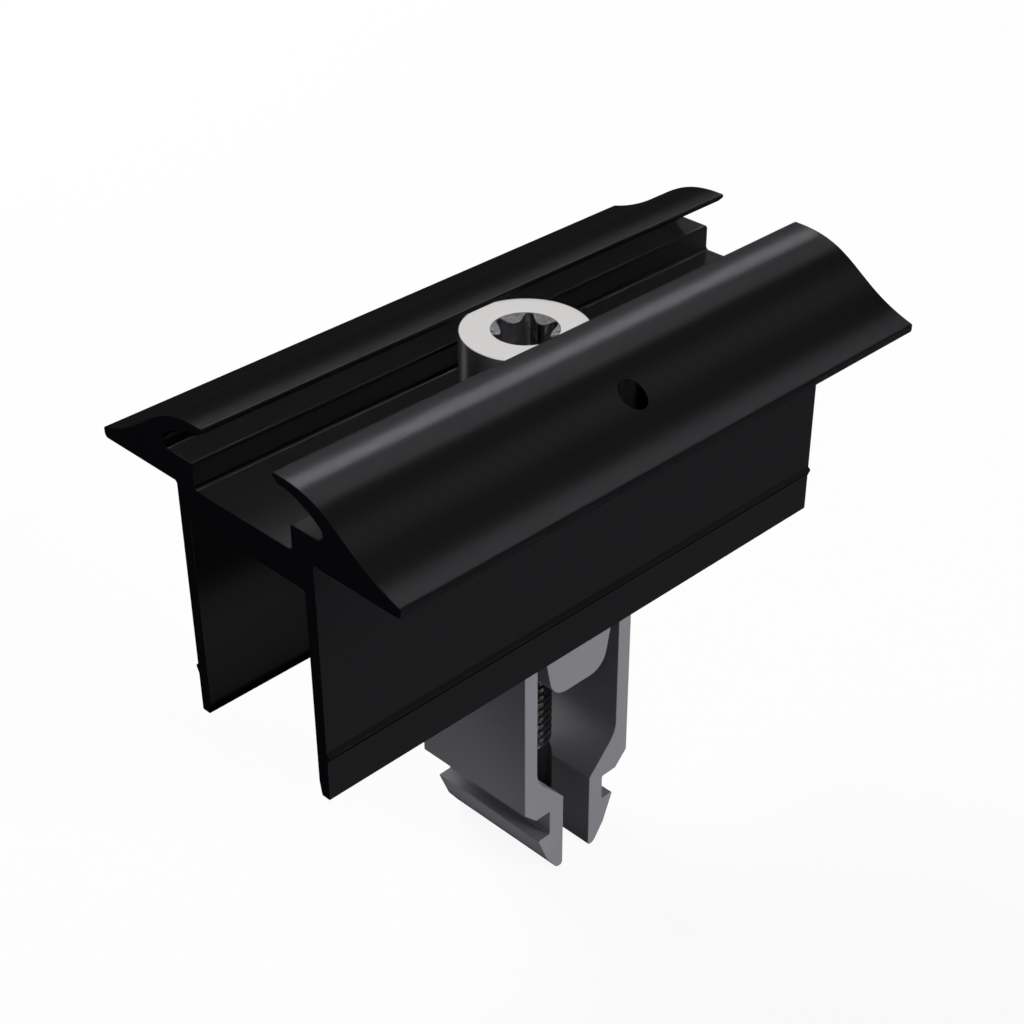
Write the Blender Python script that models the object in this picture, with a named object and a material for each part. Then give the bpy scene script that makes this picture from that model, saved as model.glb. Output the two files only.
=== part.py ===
"""Solar mid clamp: an extruded clamp profile, its captive screw and the slot nut that clicks into a rail.

Metres, +Z up. X runs along the extrusion, Y across it, over the two modules that the clamp holds down.
The origin is on the screw's axis, in the plane where the nut's barbs bear on the rail's lips from below.
"""

from math import atan2, cos, pi, radians, sin, tan

import bmesh
import bpy
from mathutils import Vector

# Clearances
SEAT_GAP = 0.0003           # between faces that bear on each other
SLIDE_GAP = 0.00025         # between the nut's sides and the legs that guide it
THREAD_GAP = 0.0003         # around the shank inside the tapped bore
LIP_GAP_OVER_HEAD = 0.0004  # lets the screw head slide in under the lips

# Where the clamp stands on the nut
GRIP_HEIGHT = 0.0513        # from the barb tops up to the wings' undersides
GUIDE_OVERLAP = 0.0047      # how far the nut reaches up between the legs

# Screw, M6 with a large cylindrical head and a six-lobe recess
THREAD_D = 0.006
THREAD_PITCH = 0.001
PITCH_LINE_SHARE = 0.6495   # of a pitch, by which a 60 degree thread's pitch diameter is smaller
SCREW_LENGTH = 0.0453
HEAD_D = 0.013
HEAD_HEIGHT = 0.00537
HEAD_CHAMFER = 0.00017
NECK_RADIUS = 0.0003
SCREW_TIP_CHAMFER = 0.0006
RECESS_TIP_D = 0.00675      # across opposite lobes
RECESS_WAIST_D = 0.00485    # across opposite crests
RECESS_LOBE_R = 0.00055
RECESS_DEPTH = 0.0040
RECESS_MOUTH_D = 0.00686
COUNTERSINK_ANGLE = radians(120)
RECESS_TURN = radians(38.5)  # one lobe's direction, from +X

# Clamp profile, along X
CLAMP_LENGTH = 0.070
LEG_SPACING = 0.0191        # over the legs, the gap left between two modules
LEG_WALL = 0.0014
SKIRT_DEPTH = 0.02624       # from the wings' undersides to the legs' ends
LEG_LEAD_IN = 0.00028
LEG_LEAD_LENGTH = 0.0016
BEAD_HEIGHT = 0.0003        # the ridge along each leg's outer face
BEAD_ABOVE_RIDGE = 0.00029  # the short facet that looks up
BEAD_BELOW_RIDGE = 0.00048
BEAD_ABOVE_END = 0.0050
WEB_THICKNESS = 0.00355
FLOOR_RISE = 0.00028        # the channel's floor above the wings' undersides
HEAD_SIDE_GAP = 0.0003
STEP_HEIGHT = 0.00272
UNDERCUT = 0.0043           # how far the channel widens above the step
UNDERCUT_CHAMFER = 0.00055
UNDERCUT_WALL = 0.00035
LIP_THICKNESS = 0.00098
LIP_OPENING = 0.00964
LIP_SLANT = 0.00068
ROOF_FLAT = 0.0005
ROOF_HANDLE = 0.0016
ROOF_BACK_HANDLE = 0.0008
WING_OVERHANG = 0.01107     # how far each wing reaches over its module
WING_TIP = 0.00108
WING_TIP_TOP_ROUND = 0.0002
WING_TIP_ROUND = 0.00048    # under the tip, where it meets the module's frame
WING_TIP_SLOPE = radians(15.5)
CREST_FLAT = 0.0008
CREST_HANDLE = 0.00717
TIP_HANDLE = 0.00763
WEB_HOLE_D = 0.0066
PIN_HOLE_D = 0.0029
PIN_HOLE_FROM_LEG = 0.00445
CHANNEL_FOOT_ROUND = 0.0004
CORNER_ROUND = 0.0003

# Slot nut, an extrusion along Y cut to fit between the legs
NUT_WIDTH = 0.0159
ARM_WALL = 0.00185
BRIDGE_THICKNESS = 0.0048
BOSS_DEPTH = 0.0112         # from the nut's top to the boss's lower face
BOSS_ROOT_WIDTH = 0.01024
BOSS_END_WIDTH = 0.00762
BOSS_ROUND = 0.0025
SHOULDER_HEIGHT = 0.00495   # where the arms' outer faces end, above the barb tops
SHOULDER_CHAMFER = 0.00172
NOTCH_HEIGHT = 0.00323      # the room for the rail's lips
HOOK_GAP = 0.0041
HOOK_NECK = 0.00208         # a hook's thickness in the notch
HOOK_SLOPE = radians(46.5)
HOOK_WALL_TOP = 0.00416
ARM_ROUND = 0.0035
BARB_REACH = 0.00175
BARB_KNEE_IN = 0.0014
BARB_KNEE_DROP = 0.0035
BARB_HEIGHT = 0.00565
BARB_TOE = 0.0009
NOTCH_ROUND = 0.0002
EDGE_ROUND = 0.00015
SLOT_ROUND = 0.0005

# Facets
ARC_STEPS = 6
CURVE_STEPS = 18
ROUND_STEPS = 64
LOBE_STEPS = 8
CUTTER_MARGIN = 0.002
LARGEST_ROUND_SHARE = 0.45  # of an edge between two rounded corners, and twice that where only one is
SHARP_ANGLE = radians(25)

# Materials as base colour, metallic, roughness
BLACK_ANODISED = ((0.012, 0.012, 0.014), 0.6, 0.35)
STAINLESS_STEEL = ((0.62, 0.61, 0.6), 1.0, 0.32)
PLAIN_ALUMINIUM = ((0.30, 0.30, 0.32), 0.9, 0.5)

# What the sizes above give
wing_underside = GRIP_HEIGHT
leg_end = wing_underside - SKIRT_DEPTH
channel_floor = wing_underside + FLOOR_RISE
web_underside = channel_floor - WEB_THICKNESS
channel_wall = HEAD_D / 2 + HEAD_SIDE_GAP
undercut_back = channel_wall + UNDERCUT
step_top = channel_floor + STEP_HEIGHT
screw_seat = channel_floor + SEAT_GAP
head_top = screw_seat + HEAD_HEIGHT
lip_underside = head_top + LIP_GAP_OVER_HEAD
crest = lip_underside + LIP_THICKNESS
leg_outside = LEG_SPACING / 2
leg_inside = leg_outside - LEG_WALL
wing_reach = leg_outside + WING_OVERHANG
nut_top = leg_end + GUIDE_OVERLAP
nut_depth = 2 * (leg_inside - SLIDE_GAP)
boss_end = nut_top - BOSS_DEPTH
# The thread is left plain, at its pitch diameter
shank_d = THREAD_D - PITCH_LINE_SHARE * THREAD_PITCH
bore_d = shank_d + 2 * THREAD_GAP


def clear_scene():
    for thing in list(bpy.data.objects):
        bpy.data.objects.remove(thing, do_unlink=True)


def material(name, colour, metallic, roughness):
    made = bpy.data.materials.new(name)
    made.use_nodes = True
    shader = made.node_tree.nodes["Principled BSDF"]
    shader.inputs["Base Color"].default_value = (*colour, 1)
    shader.inputs["Metallic"].default_value = metallic
    shader.inputs["Roughness"].default_value = roughness
    return made


def bezier(start, start_handle, end_handle, end, steps=CURVE_STEPS):
    """Points along a cubic curve, without its end point."""
    points = []
    for i in range(steps):
        t = i / steps
        weights = ((1 - t) ** 3, 3 * t * (1 - t) ** 2, 3 * t * t * (1 - t), t**3)
        knots = (start, start_handle, end_handle, end)
        points.append(tuple(sum(w * k[axis] for w, k in zip(weights, knots)) for axis in (0, 1)))
    return points


def rounded(corners):
    """An open run of (across, up, radius) corners as points, each inner corner with a radius made an arc."""
    points = []
    for i, (across, up, radius) in enumerate(corners):
        corner = Vector((across, up))
        if radius == 0 or i in (0, len(corners) - 1):
            points.append(tuple(corner))
            continue
        back = Vector(corners[i - 1][:2]) - corner
        on = Vector(corners[i + 1][:2]) - corner
        half = back.angle(on) / 2
        back_share = LARGEST_ROUND_SHARE * (2 if i == 1 else 1)
        on_share = LARGEST_ROUND_SHARE * (2 if i == len(corners) - 2 else 1)
        reach = min(radius / tan(half), back_share * back.length, on_share * on.length)
        radius = reach * tan(half)
        middle = corner + (back.normalized() + on.normalized()).normalized() * radius / sin(half)
        first = corner + back.normalized() * reach - middle
        last = corner + on.normalized() * reach - middle
        turn = first.angle_signed(last)
        start = atan2(first.y, first.x)
        for step in range(ARC_STEPS + 1):
            angle = start - turn * step / ARC_STEPS
            points.append((middle.x + radius * cos(angle), middle.y + radius * sin(angle)))
    return points


def both_sides(half):
    """Close a half outline with its mirror image; its ends lie on the middle plane, inside straight edges."""
    side = half[1:-1]
    return side + [(-across, up) for across, up in reversed(side)]


def smooth(mesh):
    mesh.shade_smooth()
    mesh.set_sharp_from_angle(angle=SHARP_ANGLE)


def add_object(name, bm, origin):
    """An object from a mesh built in the part's frame, its own origin at the given height on the axis."""
    bmesh.ops.translate(bm, verts=bm.verts, vec=(0, 0, -origin))
    bmesh.ops.recalc_face_normals(bm, faces=bm.faces)
    mesh = bpy.data.meshes.new(name)
    bm.to_mesh(mesh)
    bm.free()
    made = bpy.data.objects.new(name, mesh)
    made.location.z = origin
    bpy.context.scene.collection.objects.link(made)
    return made


def extruded(outline, length, along):
    """A prism from an outline of (across, up) points, centred on the middle plane, along X or Y."""
    bm = bmesh.new()
    if along == "X":
        base = [bm.verts.new((-length / 2, across, up)) for across, up in outline]
    else:
        base = [bm.verts.new((across, -length / 2, up)) for across, up in outline]
    face = bm.faces.new(base)
    swept = bmesh.ops.extrude_face_region(bm, geom=[face])
    step = (length, 0, 0) if along == "X" else (0, length, 0)
    bmesh.ops.translate(bm, verts=[v for v in swept["geom"] if isinstance(v, bmesh.types.BMVert)], vec=step)
    return bm


def turned(profile):
    """A solid turned about Z from (radius, up) points whose first and last lie on the axis."""
    bm = bmesh.new()
    rings = []
    for radius, up in profile:
        if radius == 0:
            rings.append([bm.verts.new((0, 0, up))])
            continue
        angles = [2 * pi * i / ROUND_STEPS for i in range(ROUND_STEPS)]
        rings.append([bm.verts.new((radius * cos(a), radius * sin(a), up)) for a in angles])
    for lower, upper in zip(rings, rings[1:]):
        for i in range(ROUND_STEPS):
            j = (i + 1) % ROUND_STEPS
            corners = [ring[k % len(ring)] for ring, k in ((lower, i), (lower, j), (upper, j), (upper, i))]
            bm.faces.new(list(dict.fromkeys(corners)))
    return bm


def cut(target, name, bm, origin=0.0):
    """Cut a target with a cutter built in the part's frame."""
    cutter = add_object(name, bm, origin)
    cutter.hide_render = True
    cutter.display_type = "WIRE"
    modifier = target.modifiers.new(name, "BOOLEAN")
    modifier.operation = "DIFFERENCE"
    modifier.solver = "EXACT"
    modifier.object = cutter


def drill(diameter, top, bottom, place=(0.0, 0.0)):
    """A drill's round cutter, from one height to another."""
    bm = turned([(0, bottom), (diameter / 2, bottom), (diameter / 2, top), (0, top)])
    bmesh.ops.translate(bm, verts=bm.verts, vec=(*place, 0))
    return bm


def clamp_half_section():
    """Half of the clamp's section, as (across, up), from the channel's floor round to the web's underside."""
    lip_nose = LIP_OPENING / 2
    lip_root = lip_nose + LIP_SLANT
    roof_start = lip_root + ROOF_FLAT
    back_foot = step_top + UNDERCUT_CHAMFER
    back_head = back_foot + UNDERCUT_WALL
    inside = rounded([
        (0, channel_floor, 0),
        (channel_wall, channel_floor, CHANNEL_FOOT_ROUND),
        (channel_wall, step_top, CORNER_ROUND),
        (undercut_back - UNDERCUT_CHAMFER, step_top, CORNER_ROUND),
        (undercut_back, back_foot, CORNER_ROUND),
        (undercut_back, back_head, 0),
    ])
    roof = bezier(
        (roof_start, lip_underside),
        (roof_start + ROOF_HANDLE, lip_underside),
        (undercut_back, back_head + ROOF_BACK_HANDLE),
        (undercut_back, back_head),
    )
    lip = rounded([
        (roof_start, lip_underside, 0),
        (lip_root, lip_underside, CORNER_ROUND),
        (lip_nose, crest - CORNER_ROUND, CORNER_ROUND),
        (lip_nose + CORNER_ROUND / 2, crest, CORNER_ROUND),
        (lip_nose + CREST_FLAT, crest, 0),
    ])
    tip_top = wing_underside + WING_TIP
    slope = Vector((cos(WING_TIP_SLOPE), -sin(WING_TIP_SLOPE)))
    tip_handle = Vector((wing_reach, tip_top)) - slope * TIP_HANDLE
    back = bezier(
        (lip_nose + CREST_FLAT, crest),
        (lip_nose + CREST_FLAT + CREST_HANDLE, crest),
        tuple(tip_handle),
        (wing_reach, tip_top),
    )
    bead = leg_end + BEAD_ABOVE_END
    tip_and_leg = rounded([
        (*back[-1], 0),
        (wing_reach, tip_top, WING_TIP_TOP_ROUND),
        (wing_reach, wing_underside, WING_TIP_ROUND),
        (leg_outside, wing_underside, CORNER_ROUND),
        (leg_outside, bead + BEAD_ABOVE_RIDGE, 0),
        (leg_outside + BEAD_HEIGHT, bead, BEAD_HEIGHT / 3),
        (leg_outside, bead - BEAD_BELOW_RIDGE, 0),
        (leg_outside, leg_end, CORNER_ROUND / 2),
        (leg_inside + LEG_LEAD_IN, leg_end, CORNER_ROUND / 2),
        (leg_inside, leg_end + LEG_LEAD_LENGTH, 0),
        (leg_inside, web_underside, CORNER_ROUND),
        (0, web_underside, 0),
    ])
    return inside + roof[:0:-1] + lip + back[1:-1] + tip_and_leg


def make_clamp_profile():
    bm = extruded(both_sides(clamp_half_section()), CLAMP_LENGTH, "X")
    clamp = add_object("clamp_profile", bm, channel_floor)
    web_drill = drill(WEB_HOLE_D, channel_floor + CUTTER_MARGIN, web_underside - CUTTER_MARGIN)
    cut(clamp, "web_hole_cutter", web_drill)
    pin_place = (0, -(leg_outside + PIN_HOLE_FROM_LEG))
    pin_drill = drill(PIN_HOLE_D, crest + CUTTER_MARGIN, wing_underside - CUTTER_MARGIN, pin_place)
    cut(clamp, "pin_hole_cutter", pin_drill)
    clamp.data.materials.append(material("black_anodised", *BLACK_ANODISED))
    smooth(clamp.data)
    return clamp


def six_lobe_outline():
    """The recess's section: six lobes joined by crests, each an arc that meets the next at a tangent."""
    lobe_centre = RECESS_TIP_D / 2 - RECESS_LOBE_R
    waist = RECESS_WAIST_D / 2
    share = cos(pi / 6)
    crest_r = RECESS_LOBE_R**2 - lobe_centre**2 - waist**2 + 2 * lobe_centre * waist * share
    crest_r /= 2 * (waist - lobe_centre * share - RECESS_LOBE_R)
    crest_centre = waist + crest_r
    # the arcs meet on the line between their centres
    across = crest_centre * share - lobe_centre
    up = crest_centre * sin(pi / 6)
    lobe_half = atan2(up, across)
    crest_half = lobe_half - pi / 6
    points = []
    for lobe in range(6):
        middle = RECESS_TURN + lobe * pi / 3
        centre = Vector((cos(middle), sin(middle))) * lobe_centre
        for step in range(LOBE_STEPS + 1):
            angle = middle + lobe_half * (2 * step / LOBE_STEPS - 1)
            points.append((centre.x + RECESS_LOBE_R * cos(angle), centre.y + RECESS_LOBE_R * sin(angle)))
        middle += pi / 6
        centre = Vector((cos(middle), sin(middle))) * crest_centre
        for step in range(1, LOBE_STEPS):
            angle = middle + pi - crest_half * (2 * step / LOBE_STEPS - 1)
            points.append((centre.x + crest_r * cos(angle), centre.y + crest_r * sin(angle)))
    return points


def recess_prism():
    bm = bmesh.new()
    face = bm.faces.new([bm.verts.new((x, y, head_top - RECESS_DEPTH)) for x, y in six_lobe_outline()])
    swept = bmesh.ops.extrude_face_region(bm, geom=[face])
    rise = (0, 0, RECESS_DEPTH + CUTTER_MARGIN)
    bmesh.ops.translate(bm, verts=[v for v in swept["geom"] if isinstance(v, bmesh.types.BMVert)], vec=rise)
    return bm


def countersink():
    """A cone that opens the recess's mouth, carried on above the head's face."""
    depth = RECESS_MOUTH_D / 2 / tan(COUNTERSINK_ANGLE / 2)
    above = (RECESS_MOUTH_D / 2) * (depth + CUTTER_MARGIN) / depth
    return turned([(0, head_top - depth), (above, head_top + CUTTER_MARGIN), (0, head_top + CUTTER_MARGIN)])


def make_clamp_screw():
    head_r = HEAD_D / 2
    shank_r = shank_d / 2
    tip = screw_seat - SCREW_LENGTH
    neck = [
        (shank_r + NECK_RADIUS * (1 - sin(a)), screw_seat - NECK_RADIUS * (1 - cos(a)))
        for a in (pi / 2 * i / ARC_STEPS for i in range(ARC_STEPS, -1, -1))
    ]
    profile = [
        (0, tip),
        (shank_r - SCREW_TIP_CHAMFER, tip),
        (shank_r, tip + SCREW_TIP_CHAMFER),
        *neck,
        (head_r - HEAD_CHAMFER, screw_seat),
        (head_r, screw_seat + HEAD_CHAMFER),
        (head_r, head_top - HEAD_CHAMFER),
        (head_r - HEAD_CHAMFER, head_top),
        (0, head_top),
    ]
    screw = add_object("clamp_screw", turned(profile), screw_seat)
    cut(screw, "recess_cutter", recess_prism())
    cut(screw, "countersink_cutter", countersink())
    screw.data.materials.append(material("stainless_steel", *STAINLESS_STEEL))
    smooth(screw.data)
    return screw


def nut_half_section():
    """Half of the nut's section, as (across, up), from the middle of its top to the boss's lower face."""
    outside = NUT_WIDTH / 2
    arm_inside = outside - ARM_WALL
    hook_inside = HOOK_GAP / 2
    notch_back = hook_inside + HOOK_NECK
    barb_tip = notch_back + BARB_REACH
    slope_rise = (arm_inside - hook_inside) * tan(HOOK_SLOPE)
    bridge_underside = nut_top - BRIDGE_THICKNESS
    return rounded([
        (0, nut_top, 0),
        (outside, nut_top, CORNER_ROUND),
        (outside, SHOULDER_HEIGHT, CORNER_ROUND),
        (outside - SHOULDER_CHAMFER, NOTCH_HEIGHT, CORNER_ROUND),
        (notch_back, NOTCH_HEIGHT, EDGE_ROUND),
        (notch_back, 0, NOTCH_ROUND),
        (barb_tip, 0, EDGE_ROUND),
        (barb_tip - BARB_KNEE_IN, -BARB_KNEE_DROP, BARB_TOE),
        (hook_inside + BARB_TOE, -BARB_HEIGHT, BARB_TOE),
        (hook_inside, -BARB_HEIGHT, BARB_TOE / 2),
        (hook_inside, HOOK_WALL_TOP, CORNER_ROUND),
        (arm_inside, HOOK_WALL_TOP + slope_rise, ARM_ROUND),
        (arm_inside, bridge_underside, SLOT_ROUND),
        (BOSS_ROOT_WIDTH / 2, bridge_underside, SLOT_ROUND),
        (BOSS_END_WIDTH / 2, boss_end, BOSS_ROUND),
        (0, boss_end, 0),
    ])


def make_slot_nut():
    bm = extruded(both_sides(nut_half_section()), nut_depth, "Y")
    nut = add_object("slot_nut", bm, 0.0)
    cut(nut, "bore_cutter", drill(bore_d, nut_top + CUTTER_MARGIN, -BARB_HEIGHT - CUTTER_MARGIN))
    nut.data.materials.append(material("plain_aluminium", *PLAIN_ALUMINIUM))
    smooth(nut.data)
    return nut


def main():
    clear_scene()
    make_slot_nut()
    clamp = make_clamp_profile()
    screw = make_clamp_screw()
    # the screw travels with the clamp that holds it
    screw.parent = clamp
    screw.location.z -= clamp.location.z


main()
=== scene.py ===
# %% [markdown]
# # A solar mid clamp, dressed for its portrait
#
# A mid clamp stands in the gap between two solar modules and holds both of them down on a rail. This
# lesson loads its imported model, makes the three pieces again with the fine edges, thread and tapped bore
# that the solids leave plain, gives each its metal, and lights them as in a studio photograph on white.

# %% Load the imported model
from math import atan2, cos, pi, radians, sin, tan

import bmesh
import bpy
from mathutils import Matrix, Vector


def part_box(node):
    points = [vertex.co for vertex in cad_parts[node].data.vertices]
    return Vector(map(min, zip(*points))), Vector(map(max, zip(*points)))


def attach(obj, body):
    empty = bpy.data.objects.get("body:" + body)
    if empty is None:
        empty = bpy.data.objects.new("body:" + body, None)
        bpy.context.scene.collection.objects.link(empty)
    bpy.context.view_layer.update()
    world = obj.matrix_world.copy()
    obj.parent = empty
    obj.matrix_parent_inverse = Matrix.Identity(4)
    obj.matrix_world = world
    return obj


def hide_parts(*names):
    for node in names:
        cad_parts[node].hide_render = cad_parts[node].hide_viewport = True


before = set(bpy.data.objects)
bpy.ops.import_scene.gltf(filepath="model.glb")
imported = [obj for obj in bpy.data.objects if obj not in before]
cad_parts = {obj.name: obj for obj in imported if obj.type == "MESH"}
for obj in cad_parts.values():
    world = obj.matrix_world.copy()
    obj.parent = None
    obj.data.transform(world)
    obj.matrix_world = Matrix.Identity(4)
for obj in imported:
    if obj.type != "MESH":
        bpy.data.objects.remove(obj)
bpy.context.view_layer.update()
print("CAD pieces:", ", ".join(sorted(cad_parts)))

# %% [markdown]
# ## Sizes
#
# Every size below is in millimetres, because that is how a maker would write it on a drawing, and Blender
# gets metres from one factor at the end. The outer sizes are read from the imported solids, so that the
# dressed pieces can't drift away from them. Up is measured from the plane where the nut's barbs meet the
# rail.

# %% Read the outer sizes
MM = 0.001


def corners_mm(node):
    low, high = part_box(node)
    return low / MM, high / MM


profile_low, profile_high = corners_mm("clamp_profile")
screw_low, screw_high = corners_mm("clamp_screw")
nut_low, nut_high = corners_mm("slot_nut")
print("profile", [round(v, 2) for v in profile_high - profile_low], "mm")
print("screw", [round(v, 2) for v in screw_high - screw_low], "mm")
print("nut", [round(v, 2) for v in nut_high - nut_low], "mm")

# %% [markdown]
# ## Section of the clamp profile
#
# The profile is an aluminium extrusion: one section, pressed through a die and sawn to length. So the
# shape to draw is the section, and only half of it, because the other half is its mirror image. Straight
# runs are corners with a radius, as a die maker draws them, and the wing's back is one smooth cubic
# curve. A polygon with enough points is better here than a curve object, because its faces stay square
# and even.

# %% Draw rounded corners and curves
CORNER_STEPS = 8
CURVE_STEPS = 56
LARGEST_ROUND_SHARE = 0.45  # of an edge between two rounded corners; twice that at the end of a run


def corner_run(corners):
    """Points along a run of (across, up, radius) corners; the first and last stay sharp."""
    points = [tuple(corners[0][:2])]
    for i, (across, up, radius) in enumerate(corners[1:-1], start=1):
        corner = Vector((across, up))
        if radius == 0:
            points.append((across, up))
            continue
        back = Vector(corners[i - 1][:2]) - corner
        on = Vector(corners[i + 1][:2]) - corner
        half = back.angle(on) / 2
        back_room = back.length * LARGEST_ROUND_SHARE * (2 if i == 1 else 1)
        on_room = on.length * LARGEST_ROUND_SHARE * (2 if i == len(corners) - 2 else 1)
        reach = min(radius / tan(half), back_room, on_room)
        radius = reach * tan(half)
        middle = corner + (back.normalized() + on.normalized()).normalized() * radius / sin(half)
        first = corner + back.normalized() * reach - middle
        last = corner + on.normalized() * reach - middle
        turn = first.angle_signed(last)
        start = atan2(first.y, first.x)
        for step in range(CORNER_STEPS + 1):
            angle = start - turn * step / CORNER_STEPS
            points.append((middle.x + radius * cos(angle), middle.y + radius * sin(angle)))
    points.append(tuple(corners[-1][:2]))
    return points


def cubic(start, start_handle, end_handle, end):
    """Points along a cubic curve between its two ends, without them."""
    points = []
    for i in range(1, CURVE_STEPS):
        t = i / CURVE_STEPS
        weights = ((1 - t) ** 3, 3 * t * (1 - t) ** 2, 3 * t * t * (1 - t), t**3)
        knots = (start, start_handle, end_handle, end)
        points.append(tuple(sum(w * k[axis] for w, k in zip(weights, knots)) for axis in (0, 1)))
    return points


def mirrored(half):
    """A whole outline from its right half, whose ends lie on the middle line."""
    side = half[1:-1]
    return side + [(-across, up) for across, up in reversed(side)]


# %% Draw the profile's section
leg_end = profile_low.z
crest = profile_high.z
wing_reach = profile_high.y
wing_underside = 51.3
channel_floor = 51.58
web_underside = 48.03
channel_wall = 6.8
step_top = 54.3
undercut_back = 11.1
undercut_chamfer = 0.55
channel_fillet = 0.4
die_round = 0.3
lip_nose = 4.82
lip_face = 0.3
lip_root = 5.5
lip_underside = 57.65
roof_start = 6.0
roof_end = 55.2
roof_handle_up = 56.0
roof_handle_across = 7.6
crest_flat_end = 5.62
crest_handle_across = 12.79
wing_tip_top = 52.38
wing_tip_slope = radians(15.5)
tip_handle_length = 7.63
tip_round = 0.2
tip_under_round = 0.48
leg_outside = 9.55
leg_inside = 8.15
leg_foot_round = 0.15
leg_taper = 0.28
leg_taper_length = 1.6
bead_up = leg_end + 5.0
bead_outside = leg_outside + 0.3

tip_handle = (
    wing_reach - cos(wing_tip_slope) * tip_handle_length,
    wing_tip_top + sin(wing_tip_slope) * tip_handle_length,
)
channel = corner_run([
    (0, channel_floor, 0),
    (channel_wall, channel_floor, channel_fillet),
    (channel_wall, step_top, die_round),
    (undercut_back - undercut_chamfer, step_top, die_round),
    (undercut_back, step_top + undercut_chamfer, die_round),
    (undercut_back, roof_end, 0),
])
roof = cubic(
    (undercut_back, roof_end), (undercut_back, roof_handle_up),
    (roof_handle_across, lip_underside), (roof_start, lip_underside),
)
lip = corner_run([
    (roof_start, lip_underside, 0),
    (lip_root, lip_underside, die_round),
    (lip_nose, crest - lip_face, die_round),
    # two small steps up to the crest draw the lip's round edge
    (lip_nose + 0.07, crest - 0.02, 0.12),
    (lip_nose + 0.24, crest, 0),
    (crest_flat_end, crest, 0),
])
wing_back = cubic(
    (crest_flat_end, crest), (crest_handle_across, crest), tip_handle, (wing_reach, wing_tip_top)
)
tip_and_leg = corner_run([
    (*wing_back[-1], 0),
    (wing_reach, wing_tip_top, tip_round),
    (wing_reach, wing_underside, tip_under_round),
    (leg_outside, wing_underside, die_round),
    # the bead: a short slope above, a long one below
    (leg_outside, bead_up + 0.525, 0),
    (bead_outside, bead_up + 0.29, 0.15),
    (bead_outside, bead_up + 0.1, 0.1),
    (leg_outside, bead_up - 0.6, 0),
    (leg_outside, leg_end, leg_foot_round),
    (leg_inside + leg_taper, leg_end, leg_foot_round),
    (leg_inside, leg_end + leg_taper_length, 0),
    (leg_inside, web_underside, die_round),
    (0, web_underside, 0),
])
profile_outline = mirrored(channel + roof + lip + wing_back + tip_and_leg[1:])
print("section points:", len(profile_outline))

# %% [markdown]
# ## From section to bar
#
# A sawn end is never a knife edge: deburring rounds it by a tenth of a millimetre or so, and that tiny
# round is what catches the light along every end of the real part. So the bar gets a few rings of points
# close to each end, each drawn in a little, instead of a bevel modifier that would have to find those
# edges again.

# %% Make a bar from an outline
EDGE_STEPS = 4


def drawn_in(outline, distance):
    """The outline moved inwards by a distance, its corners kept at their angle."""
    moved = []
    count = len(outline)
    area = sum(a[0] * b[1] - b[0] * a[1] for a, b in zip(outline, outline[1:] + outline[:1]))
    side = 1 if area > 0 else -1
    for i, point in enumerate(outline):
        before = (Vector(point) - Vector(outline[i - 1])).normalized()
        after = (Vector(outline[(i + 1) % count]) - Vector(point)).normalized()
        inward = (Vector((-before.y, before.x)) + Vector((-after.y, after.x))) * side
        inward /= max(inward.length_squared / 2, 0.5)
        moved.append((point[0] + inward.x * distance, point[1] + inward.y * distance))
    return moved


def bar(name, outline, low, high, along, edge):
    """An extruded bar along X or Y with its end edges rounded; all sizes in mm."""
    stations = []
    for step in range(EDGE_STEPS + 1):
        turn = pi / 2 * step / EDGE_STEPS
        stations.append((edge * (1 - sin(turn)), edge * (1 - cos(turn))))
    rings = [(low + inset, draw) for draw, inset in stations]
    rings += [(high - inset, draw) for draw, inset in reversed(stations)]
    bm = bmesh.new()
    loops = []
    for place, draw in rings:
        ring = drawn_in(outline, draw) if draw else outline
        if along == "X":
            loops.append([bm.verts.new((place * MM, a * MM, u * MM)) for a, u in ring])
        else:
            loops.append([bm.verts.new((a * MM, place * MM, u * MM)) for a, u in ring])
    count = len(outline)
    for near, far in zip(loops, loops[1:]):
        for i in range(count):
            j = (i + 1) % count
            bm.faces.new((near[i], near[j], far[j], far[i]))
    bm.faces.new(loops[0])
    bm.faces.new(list(reversed(loops[-1])))
    return made_object(name, bm)


def made_object(name, bm):
    bmesh.ops.recalc_face_normals(bm, faces=bm.faces)
    mesh = bpy.data.meshes.new(name)
    bm.to_mesh(mesh)
    bm.free()
    piece = bpy.data.objects.new(name, mesh)
    bpy.context.scene.collection.objects.link(piece)
    return piece


# %% [markdown]
# ## Turned shapes and drilled holes
#
# Round pieces come from a lathe, in Blender as in the shop: a profile turned about the screw's axis. A
# hole is a turned shape as well, taken away with an exact Boolean. The Boolean is applied at once, so
# that no cutter stays in the scene and the finished mesh can be counted and checked.

# %% Turn, drill and carve
ROUND_STEPS = 128
PAST = 2  # how far a cutter goes past the face that it opens, so that no two faces coincide


def turned(name, half_section, across=0):
    """A solid turned from (radius, up) points in mm about an upright axis, moved across by some mm."""
    bm = bmesh.new()
    rings = []
    angles = [2 * pi * (i + 0.5) / ROUND_STEPS for i in range(ROUND_STEPS)]
    for radius, up in half_section:
        if radius == 0:
            rings.append([bm.verts.new((0, across * MM, up * MM))])
            continue
        rings.append([
            bm.verts.new((radius * cos(a) * MM, (across + radius * sin(a)) * MM, up * MM)) for a in angles
        ])
    for lower, upper in zip(rings, rings[1:]):
        for i in range(ROUND_STEPS):
            j = (i + 1) % ROUND_STEPS
            corners = [ring[k % len(ring)] for ring, k in ((lower, i), (lower, j), (upper, j), (upper, i))]
            bm.faces.new(list(dict.fromkeys(corners)))
    return made_object(name, bm)


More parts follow.
